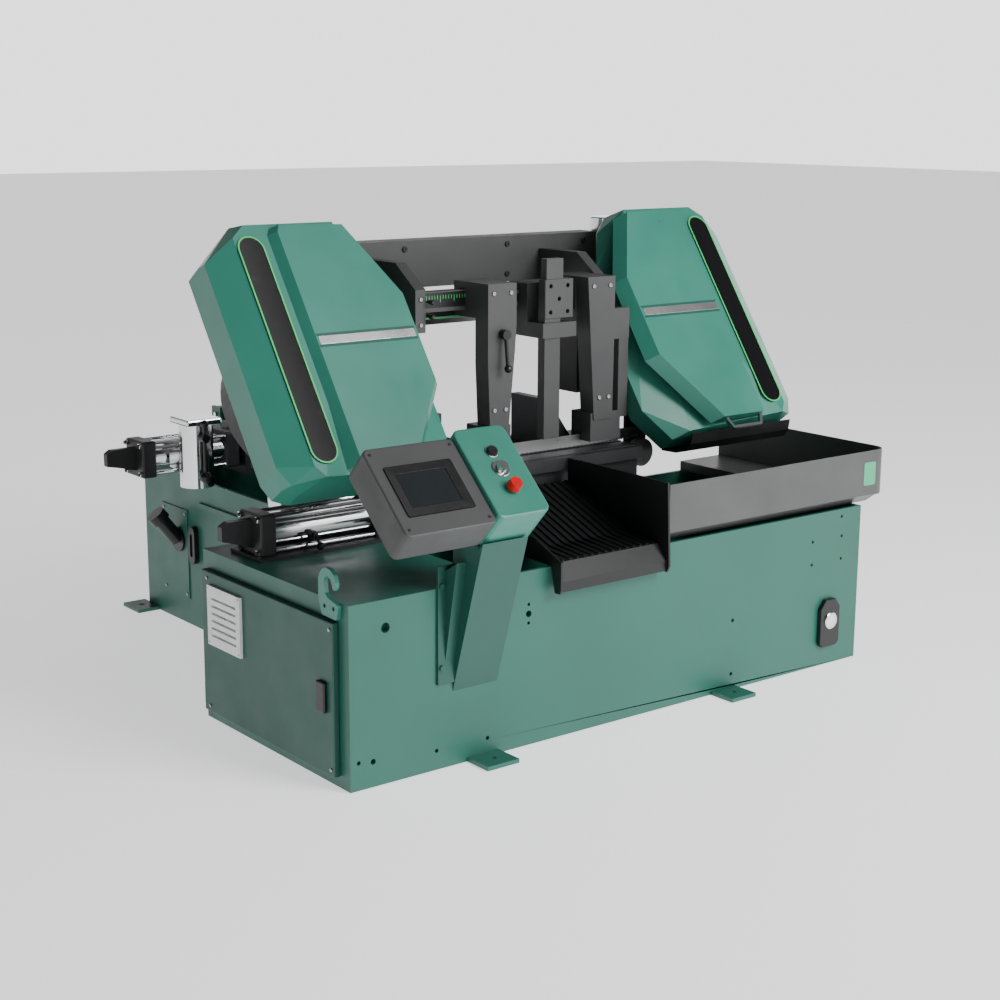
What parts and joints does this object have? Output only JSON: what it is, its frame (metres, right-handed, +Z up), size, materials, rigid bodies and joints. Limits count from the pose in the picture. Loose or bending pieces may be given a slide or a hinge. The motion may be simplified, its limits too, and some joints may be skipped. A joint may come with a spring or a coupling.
{
  "type": "horizontal band saw",
  "caption": "Automatic horizontal band saw with a tilted bow on twin columns, front and feed vises, discharge chute, chip guard and a sloping control head.",
  "frame": {"origin": "on the floor under the middle of the cut, on the underside of the front bed", "axes": "+Z up, X along the cutting strand with the drive wheel at +X, -Y towards the operator and discharge side, +Y towards the infeed side"},
  "size_m": [2.1, 2.1526, 1.4141],
  "materials": {
    "front_bed": "satin paint",
    "rear_bed": "satin paint",
    "cabinet_door": "satin paint",
    "door_vent": "moulded",
    "door_latch": "moulded",
    "cabinet_backplate": "zinc plated",
    "lifting_hook": "satin paint",
    "hmi_housing": "satin paint",
    "touch_screen": "gloss",
    "operator_panel": "satin paint",
    "start_button": "gloss",
    "speed_knob": "polished",
    "emergency_stop": "gloss",
    "control_pedestal": "satin paint",
    "discharge_chute": "satin paint",
    "chip_guard": "satin paint",
    "work_table": "machined",
    "vise_fixed_jaw": "machined",
    "vise_moving_jaw": "machined",
    "vise_cylinder": "satin paint",
    "vise_rod": "ground",
    "vise_valve_lever": "gloss",
    "feed_rod_left": "ground",
    "feed_rod_right": "ground",
    "feed_carriage": "machined",
    "feed_moving_jaw": "machined",
    "feed_vise_cylinder": "satin paint",
    "feed_vise_rod": "ground",
    "clamp_post": "polished",
    "crank_handle": "gloss",
    "filler_neck": "moulded",
    "level_gauge": "moulded",
    "column_left": "hard chrome",
    "column_right": "hard chrome",
    "lift_cylinder": "satin paint",
    "lift_rod": "ground",
    "bow_frame": "satin paint",
    "casing_left": "satin paint",
    "casing_right": "satin paint",
    "idler_wheel": "machined",
    "drive_wheel": "machined",
    "gearmotor": "satin paint",
    "cover_left": "satin paint",
    "cover_right": "satin paint",
    "stripe_left": "gloss",
    "stripe_right": "gloss",
    "handle_left": "polished",
    "handle_right": "polished",
    "saw_blade": "ground",
    "guide_arm_left": "satin paint",
    "guide_arm_right": "satin paint",
    "clamp_lever": "polished",
    "height_bar": "satin paint",
    "scale_bar": "satin",
    "splash_guard": "satin paint",
    "chip_brush": "wire",
    "infeed_roller_front": "ground",
    "infeed_roller_rear": "ground"
  },
  "bodies": {
    "base": {"front_bed": "front_bed", "rear_bed": "rear_bed", "cabinet_backplate": "cabinet_backplate", "lifting_hook": "lifting_hook", "hmi_housing": "hmi_housing", "touch_screen": "touch_screen", "operator_panel": "operator_panel", "control_pedestal": "control_pedestal", "discharge_chute": "discharge_chute", "chip_guard": "chip_guard", "work_table": "work_table", "vise_fixed_jaw": "vise_fixed_jaw", "vise_cylinder": "vise_cylinder", "feed_rod_left": "feed_rod_left", "feed_rod_right": "feed_rod_right", "filler_neck": "filler_neck", "level_gauge": "level_gauge", "column_left": "column_left", "column_right": "column_right", "lift_cylinder": "lift_cylinder"},
    "front_roller": {"infeed_roller_front": "infeed_roller_front"},
    "rear_roller": {"infeed_roller_rear": "infeed_roller_rear"},
    "door": {"cabinet_door": "cabinet_door", "door_vent": "door_vent"},
    "latch": {"door_latch": "door_latch"},
    "start": {"start_button": "start_button"},
    "knob": {"speed_knob": "speed_knob"},
    "stop": {"emergency_stop": "emergency_stop"},
    "vise_jaw": {"vise_moving_jaw": "vise_moving_jaw", "vise_rod": "vise_rod"},
    "valve": {"vise_valve_lever": "vise_valve_lever"},
    "carriage": {"feed_carriage": "feed_carriage", "feed_vise_cylinder": "feed_vise_cylinder", "clamp_post": "clamp_post"},
    "feed_jaw": {"feed_moving_jaw": "feed_moving_jaw", "feed_vise_rod": "feed_vise_rod"},
    "crank": {"crank_handle": "crank_handle"},
    "bow": {"bow_frame": "bow_frame", "lift_rod": "lift_rod", "casing_left": "casing_left", "casing_right": "casing_right", "gearmotor": "gearmotor", "guide_arm_right": "guide_arm_right", "splash_guard": "splash_guard", "scale_bar": "scale_bar", "saw_blade": "saw_blade"},
    "idler": {"idler_wheel": "idler_wheel"},
    "drive": {"drive_wheel": "drive_wheel"},
    "brush": {"chip_brush": "chip_brush"},
    "left_cover": {"cover_left": "cover_left", "stripe_left": "stripe_left", "handle_left": "handle_left"},
    "right_cover": {"cover_right": "cover_right", "stripe_right": "stripe_right", "handle_right": "handle_right"},
    "left_arm": {"guide_arm_left": "guide_arm_left"},
    "lever": {"clamp_lever": "clamp_lever"},
    "feeler": {"height_bar": "height_bar"}
  },
  "joints": [
    {"name": "bow_lift", "type": "slide", "parent": "base", "child": "bow", "axis": [0, 0, 1], "range_m": [-0.012, 0.31]},
    {"name": "vise_slide", "type": "slide", "parent": "base", "child": "vise_jaw", "axis": [1, 0, 0], "range_m": [0, 0.35]},
    {"name": "feed_slide", "type": "slide", "parent": "base", "child": "carriage", "axis": [0, 1, 0], "range_m": [-0.32, 0.15]},
    {"name": "feed_vise_slide", "type": "slide", "parent": "carriage", "child": "feed_jaw", "axis": [1, 0, 0], "range_m": [0, 0.28]},
    {"name": "drive_wheel_spin", "type": "hinge", "parent": "bow", "child": "drive", "pos_m": [0.7, 0.12905, 0.90931], "axis": [0, -0.8192, 0.5736], "continuous": true},
    {"name": "idler_wheel_spin", "type": "hinge", "parent": "bow", "child": "idler", "pos_m": [-0.7, 0.12905, 0.90931], "axis": [0, -0.8192, 0.5736], "continuous": true},
    {"name": "chip_brush_spin", "type": "hinge", "parent": "bow", "child": "brush", "pos_m": [0.455, -0.02, 0.661], "axis": [0, -1, 0], "continuous": true},
    {"name": "left_cover_hinge", "type": "hinge", "parent": "bow", "child": "left_cover", "pos_m": [-0.68, 0.3073, 1.36437], "axis": [-1, 0, 0], "range_deg": [0, 75]},
    {"name": "right_cover_hinge", "type": "hinge", "parent": "bow", "child": "right_cover", "pos_m": [0.68, 0.3073, 1.36437], "axis": [-1, 0, 0], "range_deg": [0, 75]},
    {"name": "left_arm_slide", "type": "slide", "parent": "bow", "child": "left_arm", "axis": [1, 0, 0], "range_m": [-0.13, 0.09]},
    {"name": "clamp_lever_hinge", "type": "hinge", "parent": "left_arm", "child": "lever", "pos_m": [-0.131, -0.06, 1.085], "axis": [0, -1, 0], "range_deg": [-60, 60]},
    {"name": "feeler_slide", "type": "slide", "parent": "bow", "child": "feeler", "axis": [0, 0, 1], "range_m": [-0.01, 0.1]},
    {"name": "cabinet_door_hinge", "type": "hinge", "parent": "base", "child": "door", "pos_m": [-0.985, 0.23, 0.24], "axis": [0, 0, -1], "range_deg": [0, 110]},
    {"name": "door_latch_hinge", "type": "hinge", "parent": "door", "child": "latch", "pos_m": [-1, -0.405, 0.2425], "axis": [-1, 0, 0], "range_deg": [0, 90]},
    {"name": "start_button_press", "type": "slide", "parent": "base", "child": "start", "axis": [0, 0.6811, -0.7321], "range_m": [0, 0.003], "stiffness_N_per_m": 300},
    {"name": "emergency_stop_press", "type": "slide", "parent": "base", "child": "stop", "axis": [0, 0.6811, -0.7321], "range_m": [0, 0.006], "stiffness_N_per_m": 400},
    {"name": "speed_knob_turn", "type": "hinge", "parent": "base", "child": "knob", "pos_m": [-0.556, -0.58635, 0.82096], "axis": [0, -0.6811, 0.7321], "range_deg": [-135, 135]},
    {"name": "vise_valve_hinge", "type": "hinge", "parent": "base", "child": "valve", "pos_m": [-0.743, 0.028, 0.551], "axis": [0, -1, 0], "range_deg": [-45, 45]},
    {"name": "crank_spin", "type": "hinge", "parent": "carriage", "child": "crank", "pos_m": [-0.65, 0.824, 0.7], "axis": [0, -1, 0], "continuous": true},
    {"name": "front_roller_spin", "type": "hinge", "parent": "base", "child": "front_roller", "pos_m": [0, 0.3, 0.669], "axis": [1, 0, 0], "continuous": true},
    {"name": "rear_roller_spin", "type": "hinge", "parent": "base", "child": "rear_roller", "pos_m": [0, 1.36, 0.669], "axis": [1, 0, 0], "continuous": true}
  ],
  "couplings": [
    {"joint": "idler_wheel_spin", "follows": "drive_wheel_spin", "ratio": 1},
    {"joint": "chip_brush_spin", "follows": "drive_wheel_spin", "ratio": 2}
  ]
}
